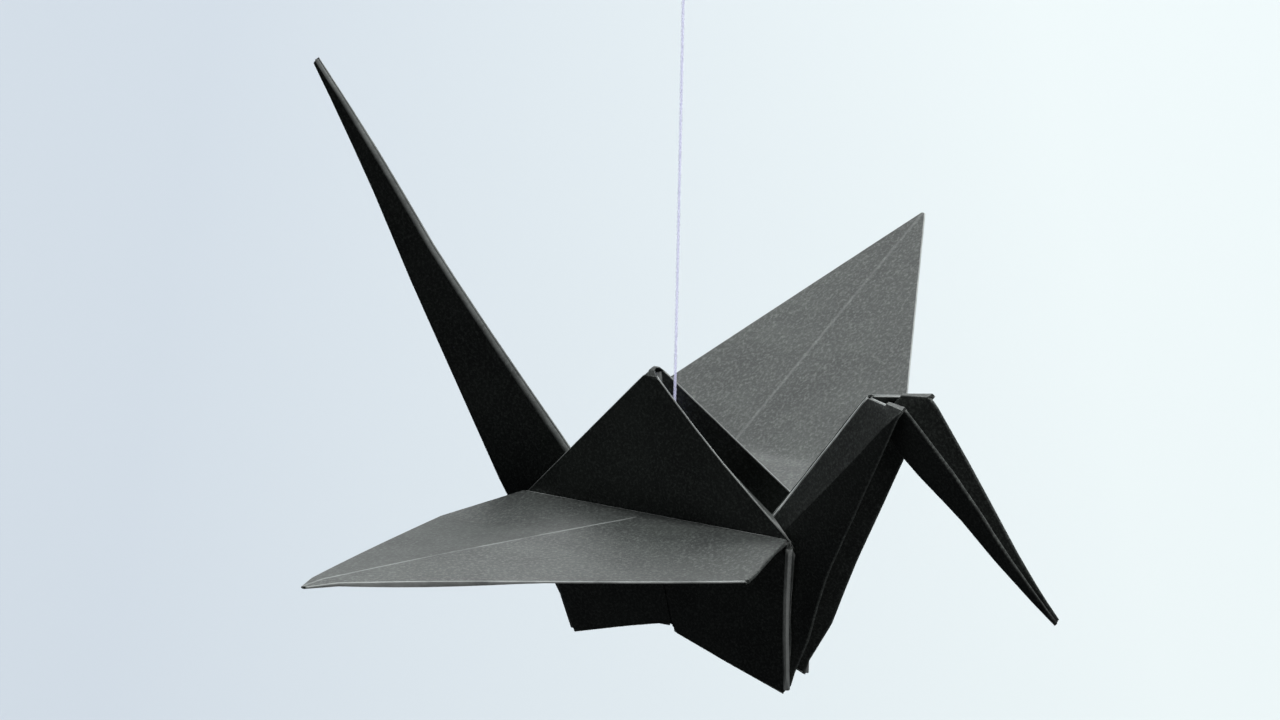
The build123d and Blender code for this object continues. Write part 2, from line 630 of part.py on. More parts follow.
os.makedirs("parts", exist_ok=True)
nodes = {"folded_sheet": hung_sheet(), "hanging_thread": hanging_thread(),
         "stop_knot": stop_knot(), "hanging_loop": hanging_loop()}
for name, shape in nodes.items():
    shape.label = name
    export_step(shape, f"parts/{name}.step")
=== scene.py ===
import bpy
from math import cos, pi, radians, sin
from mathutils import Matrix, Vector


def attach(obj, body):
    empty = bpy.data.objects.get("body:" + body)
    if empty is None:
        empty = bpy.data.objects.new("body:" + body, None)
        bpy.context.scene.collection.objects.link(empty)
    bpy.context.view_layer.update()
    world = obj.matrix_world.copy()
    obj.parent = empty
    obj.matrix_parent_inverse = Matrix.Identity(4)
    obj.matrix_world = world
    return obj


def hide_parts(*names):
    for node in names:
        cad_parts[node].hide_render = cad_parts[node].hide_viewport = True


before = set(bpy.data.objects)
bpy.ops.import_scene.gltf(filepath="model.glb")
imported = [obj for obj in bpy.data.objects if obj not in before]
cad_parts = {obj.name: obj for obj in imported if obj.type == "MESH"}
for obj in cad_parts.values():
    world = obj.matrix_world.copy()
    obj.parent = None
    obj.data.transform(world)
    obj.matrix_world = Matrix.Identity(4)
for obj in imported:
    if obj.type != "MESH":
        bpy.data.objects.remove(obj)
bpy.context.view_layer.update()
scene = bpy.context.scene
scene.view_settings.view_transform = "Standard"

# Camera
# A long lens, a little above and in front of the crane's right wing, as the photograph was taken.
# The crane's own frame has its origin at the hump's top; the crane hangs nose up under its loop.
MM = 0.001
NOSE_UP = radians(7.1)
THREAD_FRONT = 2.83        # the thread stands this far in front of the hump's top
HOOK_HEIGHT = 67.5         # from the hump's top to the loop's inner top
LENS = 152.45
SENSOR_WIDTH = 36


def hung(x, y, z, place=True):
    """A place or direction in the crane's own frame, millimetres, as it hangs."""
    turned = Vector((x * cos(NOSE_UP) - z * sin(NOSE_UP), y, x * sin(NOSE_UP) + z * cos(NOSE_UP)))
    if place:
        turned -= Vector((THREAD_FRONT * cos(NOSE_UP), 0, HOOK_HEIGHT))
    return turned


camera_data = bpy.data.cameras.new("photo_camera")
camera_data.lens = LENS
camera_data.sensor_width = SENSOR_WIDTH
camera_data.clip_start = 0.02
camera_data.clip_end = 30
camera = bpy.data.objects.new("photo_camera", camera_data)
scene.collection.objects.link(camera)
# Its axes and its place in the crane's own frame, fitted to the photograph together with the crane's angles
right = hung(0.83804654, 0.53842651, -0.08817533, False)
up = hung(-0.14420321, 0.37445129, 0.91596488, False)
back = hung(0.52619714, -0.75490604, 0.39145043, False)
spot = hung(316.53466, -456.69049, 237.34496) * MM
camera.matrix_world = Matrix((
    (right.x, up.x, back.x, spot.x),
    (right.y, up.y, back.y, spot.y),
    (right.z, up.z, back.z, spot.z),
    (0, 0, 0, 1)))
scene.camera = camera

# Hanging thread
# A lilac sewing thread of three twisted strands, 0.4 mm thick and pulled straight by the crane.
# It comes out of a pinhole inside the hump and is tied into a loop just above the picture.
STRANDS = 3
STRAND_RADIUS = 0.105
STRAND_OFFSET = 0.095      # from the thread's middle line to a strand's
STRAND_SIDES = 6
LAY = 1.7                  # one turn of the strands takes this length
LOOP_HEIGHT = 12.0
TIE_KNOT = 1.5
TIE_FOOT = -LOOP_HEIGHT - TIE_KNOT * 0.85
STRAIGHT_FROM = 1.29       # the thread is straight from this far above its bend
STRAIGHT_TO = 2.4          # to this far below the loop's tie
BEND_POINT = (0, 0, -78.767)
KNOT_POINT = (0, 1.119, -79.413)


def colour(code):
    """A colour written in sRGB hex, as linear numbers."""
    parts = [int(code[i:i + 2], 16) / 255 for i in (1, 3, 5)]
    return tuple(p / 12.92 if p <= 0.04045 else ((p + 0.055) / 1.055) ** 2.4 for p in parts) + (1.0,)


def add_node(material, kind, links=None, **settings):
    """Adds a node with its settings; links give each socket's source."""
    node = material.node_tree.nodes.new(kind)
    for name, value in settings.items():
        if hasattr(node, name):
            setattr(node, name, value)
        else:
            node.inputs[name.replace("_", " ")].default_value = value
    for name, source in (links or {}).items():
        material.node_tree.links.new(source, node.inputs[name])
    return node


# Lilac sewing thread, spun and twisted: matt fibres with a soft sheen at the sides. Light passes through
# its thin strands, so it looks nearly as pale as a bright ground behind it, and still light against black
# paper: each surface lets some of the ground through, and a small glow stands for the light in the fibres.
# Its fuzz comes in patches of 0.45 mm, coarser than real fibres, so that it shows.
lilac = bpy.data.materials.new("lilac_sewing_thread")
lilac.use_nodes = True
shader = lilac.node_tree.nodes["Principled BSDF"]
shader.inputs["Roughness"].default_value = 0.45
shader.inputs["Sheen Weight"].default_value = 1.0
shader.inputs["Sheen Roughness"].default_value = 0.5
shader.inputs["Sheen Tint"].default_value = colour("#E6E3FA")
shader.inputs["Emission Color"].default_value = colour("#CCCEE6")
shader.inputs["Emission Strength"].default_value = 0.6
shader.inputs["Alpha"].default_value = 0.3
place = add_node(lilac, "ShaderNodeTexCoord")
fuzz = add_node(lilac, "ShaderNodeTexNoise", {"Vector": place.outputs["Object"]}, Scale=2200, Detail=3)
tint = add_node(lilac, "ShaderNodeValToRGB", {"Fac": fuzz.outputs["Fac"]})
tint.color_ramp.elements[0].position = 0.3
tint.color_ramp.elements[0].color = colour("#C6C5E3")
tint.color_ramp.elements[1].position = 0.7
tint.color_ramp.elements[1].color = colour("#EBEBF9")
lilac.node_tree.links.new(tint.outputs["Color"], shader.inputs["Base Color"])


def spline_points(name, points):
    """Points along the NURBS route through millimetre points, in metres."""
    data = bpy.data.curves.new(name, "CURVE")
    data.dimensions = "3D"
    data.resolution_u = 40
    line = data.splines.new("NURBS")
    line.points.add(len(points) - 1)
    for point, (x, y, z) in zip(line.points, points):
        point.co = (x * MM, y * MM, z * MM, 1)
    line.order_u = 3
    line.use_endpoint_u = True
    holder = bpy.data.objects.new(name, data)
    mesh = bpy.data.meshes.new_from_object(holder)
    found = [v.co.copy() for v in mesh.vertices]
    bpy.data.objects.remove(holder)
    return found


def evenly(points, step):
    """The same line with its points a step apart."""
    runs = [(b - a).length for a, b in zip(points, points[1:])]
    count = max(2, round(sum(runs) / step))
    spaced = []
    index, before = 0, 0.0
    for k in range(count + 1):
        want = sum(runs) * k / count
        while index < len(runs) - 1 and before + runs[index] < want:
            before += runs[index]
            index += 1
        share = min(1.0, (want - before) / runs[index])
        spaced.append(points[index].lerp(points[index + 1], share))
    return spaced


def twisted(name, points):
    """The thread's twisted strands along a line of points, as one mesh."""
    normal = (points[1] - points[0]).orthogonal().normalized()
    rings = []
    travelled = 0.0
    for k, point in enumerate(points):
        ahead = points[min(k + 1, len(points) - 1)] - points[max(k - 1, 0)]
        ahead.normalize()
        normal = (normal - ahead * normal.dot(ahead)).normalized()
        side = ahead.cross(normal)
        if k:
            travelled += (point - points[k - 1]).length
        rings.append((point, normal.copy(), side, travelled))
    verts, faces = [], []
    for number in range(STRANDS):
        first = len(verts)
        for point, normal, side, gone in rings:
            turn = 2 * pi * (gone / (LAY * MM) + number / STRANDS)
            middle = point + (normal * cos(turn) + side * sin(turn)) * (STRAND_OFFSET * MM)
            for s in range(STRAND_SIDES):
                a = turn + 2 * pi * s / STRAND_SIDES
                verts.append(middle + (normal * cos(a) + side * sin(a)) * (STRAND_RADIUS * MM))
        for k in range(len(rings) - 1):
            low = first + k * STRAND_SIDES
            high = low + STRAND_SIDES
            for s in range(STRAND_SIDES):
                t = (s + 1) % STRAND_SIDES
                faces.append((low + s, low + t, high + t, high + s))
        last = first + (len(rings) - 1) * STRAND_SIDES
        faces.append(tuple(first + s for s in reversed(range(STRAND_SIDES))))
        faces.append(tuple(last + s for s in range(STRAND_SIDES)))
    mesh = bpy.data.meshes.new(name)
    mesh.from_pydata(verts, [], faces)
    mesh.polygons.foreach_set("use_smooth", [True] * len(mesh.polygons))
    mesh.materials.append(lilac)
    piece = bpy.data.objects.new(name, mesh)
    scene.collection.objects.link(piece)
    return piece


near_bend = (0, 0, BEND_POINT[2] + STRAIGHT_FROM)
near_tie = (0, 0, TIE_FOOT - STRAIGHT_TO)
route = spline_points("thread_route", [KNOT_POINT, BEND_POINT, near_bend, near_tie, (0, 0, TIE_FOOT)])
route = evenly(route, 0.2 * MM)
thread = twisted("hanging_thread_strands", route)
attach(thread, "root")
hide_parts("hanging_thread")


def wound(foot, axis, radius, turns, rise):
    """Points of a thread wound tightly round an axis, eight to a turn, millimetres."""
    axis = Vector(axis).normalized()
    side = axis.orthogonal().normalized()
    other = axis.cross(side)
    count = round(turns * 8)
    return [Vector(foot) + axis * rise * k / count +
            (side * cos(2 * pi * k / 8) + other * sin(2 * pi * k / 8)) * radius for k in range(count + 1)]


# The loop: a short free end, three tight turns round the thread, and the loop itself back into the turns
free_end = [Vector((1.3, 1.9, TIE_FOOT - 1.6)), Vector((0.9, 0.9, TIE_FOOT - 0.4))]
turns = wound((0, 0, TIE_FOOT + 0.15), (0, 0, 1), 0.40, 3, 1.05)
round_the_hook = [Vector(point) for point in (
    (0.1, 0.1, -11.9), (0.7, 0, -10.6), (2.2, 0, -5.2), (2.9, 0, -2.6), (2.4, 0, 0.4), (0, 0, 0.9),
    (-2.4, 0, 0.4), (-2.9, 0, -2.6), (-2.2, 0, -5.2), (-0.7, 0, -10.6), (-0.1, 0, -12.3))]
loop_line = evenly(spline_points("loop_route", free_end + turns + round_the_hook), 0.12 * MM)
loop = twisted("tied_loop", loop_line)
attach(loop, "root")
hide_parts("hanging_loop")

# The stop knot: two and a half turns of the thread's end, pulled tight, and a short free end
knot_foot = Vector(KNOT_POINT)
pull = (knot_foot - Vector(BEND_POINT)).normalized()
turns = wound(knot_foot + pull * 0.18, pull, 0.33, 2.5, 0.55)
knot_route = [knot_foot] + turns + [knot_foot + pull * 1.0, knot_foot + pull * 1.9]
knot_line = evenly(spline_points("knot_route", knot_route), 0.1 * MM)
knot = twisted("pulled_stop_knot", knot_line)
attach(knot, "root")
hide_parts("stop_knot")

# Folded sheet
# One square of black folding paper, 0.11 mm thick, folded into the crane with its layers showing at each edge.
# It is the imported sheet's own form, bent a little where the real paper gave: wings, hump, neck, lower corners.
RIGHT_CREASE = (1, -0.0915, 0)     # across the old crease along the middle of the right wing
RIGHT_CREASE_BACK = 1.35           # where it meets the body, behind the thread
LEFT_CREASE = (1, 0.038, 0)
LEFT_CREASE_BACK = 2.24
CREASE_WIDTH = 0.3                 # half the width of the rubbed line on it

# Black folding paper, uncoated and calendered: matt, with cloudy tone, fine pale fibres and a slight sheen
# at grazing angles. Its folds and edges carry a pale line: partly rubbed, where the black has come off, and
# partly a painted highlight for the light that their rough edges catch. Clouds are about 8 mm, the grain 0.4 mm,
# and the fibres 0.3 by 0.6 mm, both coarser than the real ones so that they show.
paper = bpy.data.materials.new("black_folding_paper")
paper.use_nodes = True
shader = paper.node_tree.nodes["Principled BSDF"]
shader.inputs["Roughness"].default_value = 0.6
shader.inputs["Sheen Weight"].default_value = 0.12
shader.inputs["Sheen Roughness"].default_value = 0.5
place = add_node(paper, "ShaderNodeTexCoord")
clouds = add_node(paper, "ShaderNodeTexNoise", {"Vector": place.outputs["Object"]},
                  Scale=130, Detail=5, Roughness=0.6)
tint = add_node(paper, "ShaderNodeValToRGB", {"Fac": clouds.outputs["Fac"]})
tint.color_ramp.elements[0].position = 0.32
tint.color_ramp.elements[0].color = colour("#232726")
tint.color_ramp.elements[1].position = 0.72
tint.color_ramp.elements[1].color = colour("#3B403D")
stretch = add_node(paper, "ShaderNodeMapping", {"Vector": place.outputs["Object"]})
stretch.inputs["Rotation"].default_value = (0.3, 0.5, 0.7)
stretch.inputs["Scale"].default_value = (3400, 1700, 3400)
fibres = add_node(paper, "ShaderNodeTexNoise", {"Vector": stretch.outputs["Vector"]},
                  Scale=1, Detail=2, Roughness=0.7)
specks = add_node(paper, "ShaderNodeValToRGB", {"Fac": fibres.outputs["Fac"]})
specks.color_ramp.elements[0].position = 0.47
specks.color_ramp.elements[0].color = (0, 0, 0, 1)
specks.color_ramp.elements[1].position = 0.80
specks.color_ramp.elements[1].color = (1, 1, 1, 1)
soft_fibres = add_node(paper, "ShaderNodeMath", {0: specks.outputs["Color"]}, operation="MULTIPLY")
soft_fibres.inputs[1].default_value = 0.55
fibred = add_node(paper, "ShaderNodeMix", {"Factor": soft_fibres.outputs[0], "A": tint.outputs["Color"]},
                  data_type="RGBA", blend_type="MIX")
fibred.inputs["B"].default_value = colour("#858C87")

# The old crease along the middle of each wing, a straight line from its root to its point, drawn as a pale line
# that is partly rubbed paper and partly a painted highlight
spread = add_node(paper, "ShaderNodeSeparateXYZ", {"Vector": place.outputs["Object"]})
creases = []
for across_it, back_by in ((RIGHT_CREASE, RIGHT_CREASE_BACK), (LEFT_CREASE, LEFT_CREASE_BACK)):
    run = add_node(paper, "ShaderNodeVectorMath", {0: place.outputs["Object"]}, operation="DOT_PRODUCT")
    run.inputs[1].default_value = across_it
    off = add_node(paper, "ShaderNodeMath", {0: run.outputs["Value"]}, operation="ADD")
    off.inputs[1].default_value = back_by * MM
    creases.append(off)
left_wing = add_node(paper, "ShaderNodeMath", {0: spread.outputs["Y"]}, operation="GREATER_THAN")
left_wing.inputs[1].default_value = 0
crease = add_node(paper, "ShaderNodeMix", {"Factor": left_wing.outputs[0], "A": creases[0].outputs[0],
                                           "B": creases[1].outputs[0]}, data_type="FLOAT")
crease_off = add_node(paper, "ShaderNodeMath", {0: crease.outputs["Result"]}, operation="ABSOLUTE")
crease_line = add_node(paper, "ShaderNodeMapRange", {"Value": crease_off.outputs[0]},
                       interpolation_type="SMOOTHSTEP")
crease_line.inputs["From Max"].default_value = CREASE_WIDTH * MM
crease_line.inputs["To Min"].default_value = 0.7
crease_line.inputs["To Max"].default_value = 0
wing_reach = add_node(paper, "ShaderNodeMath", {0: spread.outputs["Y"]}, operation="ABSOLUTE")
on_wing = add_node(paper, "ShaderNodeMapRange", {"Value": wing_reach.outputs[0]})
on_wing.inputs["From Min"].default_value = 4.6 * MM
on_wing.inputs["From Max"].default_value = 5.6 * MM
wing_crease = add_node(paper, "ShaderNodeMath",
                       {0: crease_line.outputs["Result"], 1: on_wing.outputs["Result"]}, operation="MULTIPLY")
fainter = add_node(paper, "ShaderNodeMapRange", {"Value": left_wing.outputs[0]})
fainter.inputs["To Min"].default_value = 0.8
fainter.inputs["To Max"].default_value = 0.3
crease_wear_and_highlight = add_node(paper, "ShaderNodeMath", {0: wing_crease.outputs[0], 1: fainter.outputs["Result"]},
                       operation="MULTIPLY")

# The pale lines at folds, edges and creases, partly rubbed paper and partly a painted highlight for the light
# that rough edges catch, stronger in some patches than in others
worn_and_highlit = add_node(paper, "ShaderNodeAttribute", attribute_name="worn_fold_and_highlight")
rub_and_highlight_patches = add_node(paper, "ShaderNodeMapRange", {"Value": clouds.outputs["Fac"]})
rub_and_highlight_patches.inputs["From Min"].default_value = 0.3
rub_and_highlight_patches.inputs["From Max"].default_value = 0.65
rub_and_highlight_patches.inputs["To Min"].default_value = 0.25
rub_and_highlight_patches.inputs["To Max"].default_value = 0.85
worn_and_highlit_line = add_node(paper, "ShaderNodeMath", {0: worn_and_highlit.outputs["Fac"], 1: crease_wear_and_highlight.outputs[0]},
                     operation="MAXIMUM")
rub_and_highlight = add_node(paper, "ShaderNodeMath", {0: worn_and_highlit_line.outputs[0], 1: rub_and_highlight_patches.outputs["Result"]},
               operation="MULTIPLY")
# Painted highlight and wear: this pale colour is lighter than rubbed paper alone, to stand for the light that the
# edges catch
rubbed_and_highlit = add_node(paper, "ShaderNodeMix", {"Factor": rub_and_highlight.outputs[0], "A": fibred.outputs["Result"]},
                  data_type="RGBA", blend_type="MIX")
rubbed_and_highlit.inputs["B"].default_value = colour("#C9CECC")
paper.node_tree.links.new(rubbed_and_highlit.outputs["Result"], shader.inputs["Base Color"])
grain = add_node(paper, "ShaderNodeTexNoise", {"Vector": place.outputs["Object"]}, Scale=2600, Detail=2)
grain_bump = add_node(paper, "ShaderNodeBump", {"Height": grain.outputs["Fac"]}, Strength=0.5, Distance=0.06 * MM)
fibre_bump = add_node(paper, "ShaderNodeBump",
                      {"Height": fibres.outputs["Fac"], "Normal": grain_bump.outputs["Normal"]},
                      Strength=0.4, Distance=0.06 * MM)
crease_bump = add_node(paper, "ShaderNodeBump",
                       {"Height": wing_crease.outputs[0], "Normal": fibre_bump.outputs["Normal"]},
                       Strength=0.6, Distance=0.08 * MM)
soft_bump = add_node(paper, "ShaderNodeBump",
                     {"Height": clouds.outputs["Fac"], "Normal": crease_bump.outputs["Normal"]},
                     Strength=0.3, Distance=0.5 * MM)
paper.node_tree.links.new(soft_bump.outputs["Normal"], shader.inputs["Normal"])

cad_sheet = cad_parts["folded_sheet"]
bpy.ops.object.select_all(action="DESELECT")
cad_sheet.select_set(True)
bpy.context.view_layer.objects.active = cad_sheet
bpy.ops.object.duplicate()
crane = bpy.context.object
crane.name = "folded_paper_crane"
crane.data.materials.clear()
crane.data.materials.append(paper)
bpy.ops.object.mode_set(mode="EDIT")
bpy.ops.mesh.select_all(action="SELECT")
bpy.ops.mesh.remove_doubles(threshold=1e-6)
bpy.ops.mesh.dissolve_limited(angle_limit=radians(0.5))
bpy.ops.object.mode_set(mode="OBJECT")

# The long faces that are about as narrow as the paper is thick are its edges and folds, where it is rubbed and
# gets a painted highlight
EDGE_WIDTH = 0.16
EDGE_LENGTH = 2
LESS_RUBBED_AND_HIGHLIT = 0.4          # on the tail and the hump's peak
wear_and_highlight = crane.data.attributes.new("worn_fold_and_highlight", "FLOAT", "FACE")
for face in crane.data.polygons:
    corners = [crane.data.vertices[v].co for v in face.vertices]
    reach = max((a - b).length for a in corners for b in corners)
    on_tail = face.center.x < -9 * MM and abs(face.center.y) < 4.6 * MM
    on_peak = face.center.z > -69.5 * MM and abs(face.center.x + 2.8 * MM) < 2 * MM
    rubbed_and_highlit_here = LESS_RUBBED_AND_HIGHLIT if on_tail or on_peak else 1.0
    is_edge = face.area / reach < EDGE_WIDTH * MM and reach > EDGE_LENGTH * MM
    wear_and_highlight.data[face.index].value = rubbed_and_highlit_here if is_edge else 0.0
bpy.ops.object.mode_set(mode="EDIT")


def cut(place, normal):
    """Cuts the sheet's faces along a plane, so that they can bend there."""
    bpy.ops.mesh.select_all(action="SELECT")
    bpy.ops.mesh.bisect(plane_co=place, plane_no=normal)


# Cuts every 4, 3 and 5 mm of the crane's length, width and height, and one along the right wing's old crease
for k in range(-46, 50, 4):
    cut(hung(k, 0, 0) * MM, hung(1, 0, 0, False))
for k in range(4, 66, 3):
    for side in (-1, 1):
        cut((0, k * side * MM, 0), (0, 1, 0))
for k in range(-34, 32, 5):
    cut(hung(0, 0, k) * MM, hung(0, 0, 1, False))
cut(Vector((-RIGHT_CREASE_BACK, 0, 0)) * MM, RIGHT_CREASE)
bpy.ops.mesh.select_all(action="SELECT")
bpy.ops.mesh.quads_convert_to_tris(quad_method="BEAUTY", ngon_method="BEAUTY")
bpy.ops.object.mode_set(mode="OBJECT")

# The even fold, millimetres in the crane's own frame: x towards the head, y to its left, z up
HINGE = -17.4              # height of the wings' hinges
RIDGE = 0.59               # half the space between the gussets at the middle
SIDE_SLOPES = {-1: 0.091, 1: 0.173}    # how fast the right and left gussets part from the middle
HALF_LAYER = 0.065
UNDER_SLOPE = 0.19         # how fast the body's outline draws in below the hinges
BODY_BOTTOM = -36.0
BODY_SIDE = 4.7            # the body reaches this far to either side
CORNER_X = 14.0            # the lower corners' distance from the middle
ROOT = -31.0               # height where neck and tail start
ROOT_X = 0.65              # and how far from the middle
NECK_LEAN = radians(38.4)
TAIL_LEAN = radians(33.8)
FLAP = 75.0                # neck and beak, or the tail, reach this far from the root along the ridge
FLAP_TAPER = 0.199         # and are this much wider for each millimetre from their point
NECK_LEAVES = (0.344, 0.939, 0.22)     # the line where the neck leaves the body: its normal and distance
CROWN = (26.65, 1.8)       # where neck and beak meet
BEAK_LINE = (0.677, -0.736)            # the way the beak points
RIDGE_FACE = -0.35         # the outer face of the neck's right leaf at its ridge
NEAR_LEAF = (-0.1076, 0.0355, 0.89)    # and away from it, in x, z and a constant
NEAR_LEAF_SLOPE = 0.106

# How the real paper gave
NECK_MOVE = Vector((1.3, 0, -0.96))    # the neck and head stand this far from the even fold
HEAD_FORWARD = 0.3         # and the head this much further forward
NEAR_EDGE_BACK = 1.85      # but the open edge of the neck's right leaf stands this far behind that
FAR_EDGE_BACK = 0.6        # and that of its left leaf this far
BEAK_SAG = 0.8             # the beak bends down by this much beyond its middle
BEAK_PRESSED = 0.45        # its leaves are closer by this share at its point
CREST = 0.45               # the layers over the head's crease are pressed to this share of their height
TAIL_BOW = 0.8             # the tail's ridge bends in by this much at its middle
POINT_REACH = 1.3          # the tail's point reaches this much further
POINT_BEND = 0.4           # and bends back by this much before its end
POINT_PRESSED = 0.4        # its leaves are closer by this share at its point
HUMP_DENT = 0.65           # the right hump face's front edge is drawn back by this much at its middle
PEAK_HEIGHT = 1.6          # the hump's peak is narrower than the even fold over this height
PEAK_WIDTH = (0.12, 1.02)  # half the hump's width at its very peak, and its growth further down
FRONT_SHIFT = 1.2          # the body's lower front stands this far forward
REAR_SHIFT = 0.9           # and its lower rear
FRONT_DROP = 0.4           # the lower front corner hangs this much lower
REAR_LIFT = (1.35, 1.10)   # the lower rear edge is this much higher, at the slit and at its corner
SQUEEZE = {"left": 0.36, "right rear": 0.40, "right front": 0.13}      # the body's sides are pressed in
CORNER_TUCK = 1.0          # the left wing's front corner is tucked back behind the neck by this much
LEFT_DROOP = 1.1           # the left wing's point is this much lower
RIGHT_DROOP = (0.7, 0.45)  # the right wing's front edge and its rear edge at the point are this much lower
RIGHT_FORWARD = 0.35       # and the point stands this much further forward
WING_RIDGE = 1.8           # the right wing is this much higher along its old crease
WING_MIDDLE = (0.72, 0.0565)           # where that crease runs: behind the middle at its root, and its slope
TIP_CURL = 0.35            # the right wing's very tip is bent down by this much
UNDER_SAG = 0.45           # the right wing's under layer hangs this far off near its point
UNDER_FROM = 38            # and starts to do so here


def ease(value, start, end):
    """0 before start, 1 after end, and a smooth step between."""
    t = max(0.0, min(1.0, (value - start) / (end - start)))
    return t * t * (3 - 2 * t)


def limit(value):
    """The value, held between 0 and 1."""
    return max(0.0, min(1.0, value))


def on_flap(x, z, lean):
    """How far a place of the neck, or the tail with x turned, lies along its ridge and away from it."""
    along = (x - ROOT_X) * sin(lean) + (z - ROOT) * cos(lean)
    away = (x - ROOT_X) * cos(lean) - (z - ROOT) * sin(lean)
    return along, away


def inside(x, y, z):
    """Whether a place lies between the two gussets, or beyond the body, where only neck and tail are."""
    reach = abs(x)
    wall = RIDGE + reach * SIDE_SLOPES[1 if y > 0 else -1] - HALF_LAYER
    edge = -z if z > HINGE else -HINGE + (z - HINGE) * UNDER_SLOPE
    # Low down and just past the body's outline, places further to the side are at the wings' roots
    near_middle = z > -12 or reach > 20.5 or abs(y) < (3.3 if y > 0 else 2.05)
    return abs(y) < wall or (reach > edge + 0.35 and near_middle)


def body_give(x, y, z):
    """The body below the hinges, the hump's peak, and the right hump face's front edge."""
    move = Vector((0, 0, 0))
    low = max(0.0, (HINGE - z) / (HINGE - BODY_BOTTOM))
    if low > 0 and abs(y) < 6:
        front = ease(x, -0.6, 0.2)
        along = min(1.0, abs(x) / CORNER_X)
        move.x = low * low * FRONT_SHIFT * front
        move.x += ease(low, 0, 0.5) * (1 - 0.4 * low) * REAR_SHIFT * (1 - front)
        lift = REAR_LIFT[0] + (REAR_LIFT[1] - REAR_LIFT[0]) * along
        move.z = low * (lift * (1 - front) - FRONT_DROP * along * front)
        to_front = SQUEEZE["right rear"] - SQUEEZE["right front"]
        squeeze = SQUEEZE["left"] if y > 0 else SQUEEZE["right rear"] - to_front * ease(x, -8, 8)
        move.y = -y * squeeze * low
    elif z > -PEAK_HEIGHT:
        move.x = x * (min(1.0, (PEAK_WIDTH[0] - PEAK_WIDTH[1] * z) / max(0.01, abs(x))) - 1)
    if y < 0 and x > 0 and z > HINGE and abs(y) < 4:
        move.x += -HUMP_DENT * sin(pi * z / HINGE) * ease(x / max(0.5, -z), 0.2, 1.0)
    return move


def neck_give(x, y, z):
    """The neck and head, which lean a little further forward than the even fold."""
    above = x * NECK_LEAVES[0] + (z - ROOT) * NECK_LEAVES[1] - NECK_LEAVES[2]
    share = ease(above, 1, 9)
    along, away = on_flap(x, z, NECK_LEAN)
    down = (x - CROWN[0]) * BEAK_LINE[0] + (z - CROWN[1]) * BEAK_LINE[1]
    across = away / max(1.0, (FLAP - along) * FLAP_TAPER)
    open_edge = limit(across) * (1 - ease(across, 1.1, 2.6))
    move = NECK_MOVE.copy()
    move.x += HEAD_FORWARD * ease(along, 15, 42)
    if y < 0:
        move.x -= NEAR_EDGE_BACK * ease(above, 1, 20) * open_edge
    if y > 0:
        move.x -= FAR_EDGE_BACK * ease(above, 3, 20) * open_edge
    crease_height = CROWN[1] - 0.04 * (x - CROWN[0])
    if z > crease_height - 0.1 and x > CROWN[0] - 1:
        move.z -= (z - crease_height + 0.1) * (1 - CREST)
    if y < 0 and away > 0 and across < 1.3:
        outer = NEAR_LEAF[0] * x + NEAR_LEAF[1] * z + NEAR_LEAF[2]
        edge = outer - NEAR_LEAF_SLOPE * (away / across - away)
        flat = RIDGE_FACE + (edge - RIDGE_FACE) * min(1.0, across)
        shape = flat / max(RIDGE_FACE - 0.5 * away, outer)
        move.y = y * (min(1.0, shape) - 1) * (1 - ease(down, -2, 1))
    if along > 30 and down > 0:
        sag = BEAK_SAG * sin(pi * limit((down - 4) / 30) ** 1.3) * ease(along, 30, 38)
        move += Vector((BEAK_LINE[1], 0, -BEAK_LINE[0])) * sag
        move.y -= y * BEAK_PRESSED * ease(down, 18, 33)
    return move * share + body_give(x, y, z) * (1 - share)


def tail_give(x, y, z):
    """The tail, whose ridge bends in at its middle and whose layers close up at its point."""
    along, away = on_flap(-x, z, TAIL_LEAN)
    width = max(0.3, (FLAP - along) * FLAP_TAPER)
    outwards = Vector((cos(TAIL_LEAN), 0, sin(TAIL_LEAN)))
    to_point = Vector((-sin(TAIL_LEAN), 0, cos(TAIL_LEAN)))
    bow = TAIL_BOW * sin(pi * limit((along - 22) / 53)) * max(0.0, 1 - away / width)
    move = outwards * (POINT_BEND * sin(pi * limit((along - 50) / 25)) - bow)
    move += to_point * (POINT_REACH * ease(along, 55, 75))
    move.y = -y * POINT_PRESSED * ease(along, 62, 75)
    if z < HINGE:
        move += body_give(x, y, z)
    return move


def wing_give(x, y, z):
    """The wings, which sag towards their tips; the right one stands up along its old crease."""
    out = max(0.0, abs(y) - 6)
    if y > 0:
        tucked = ease(x, 13, 20) * (1 - ease(y, 17, 32))
        return Vector((-CORNER_TUCK * tucked, 0, -LEFT_DROOP * (out / 58) ** 1.3))
    lead = ease(x, -4, 18)
    droop = RIGHT_DROOP[0] * lead * ease(abs(y), 4.5, 14) + RIGHT_DROOP[1] * (out / 55) ** 3 * (1 - lead)
    curl = TIP_CURL * ease(abs(y), 58, 61.5)
    aside = x - (-WING_MIDDLE[0] - WING_MIDDLE[1] * abs(y))
    width = (62 - abs(y)) * (0.44 if aside > 0 else 0.27)
    profile = min((abs(y) - 4.6) / 10.8, (61 - abs(y)) / 45.6)
    rise = WING_RIDGE * max(0.0, 1 - abs(aside) / max(1.0, width)) * max(0.0, profile)
    return Vector((RIGHT_FORWARD * out / 55, 0, rise - droop - curl))


def give(x, y, z):
    """How far one place of the sheet has moved from the even fold."""
    if abs(y) > BODY_SIDE:
        return wing_give(x, y, z)
    if x > 0 and inside(x, y, z) and on_flap(x, z, NECK_LEAN)[1] > -0.9:
        return neck_give(x, y, z)
    if x < 0 and inside(x, y, z) and on_flap(-x, z, TAIL_LEAN)[1] > -0.9:
        return tail_give(x, y, z)
    return body_give(x, y, z)


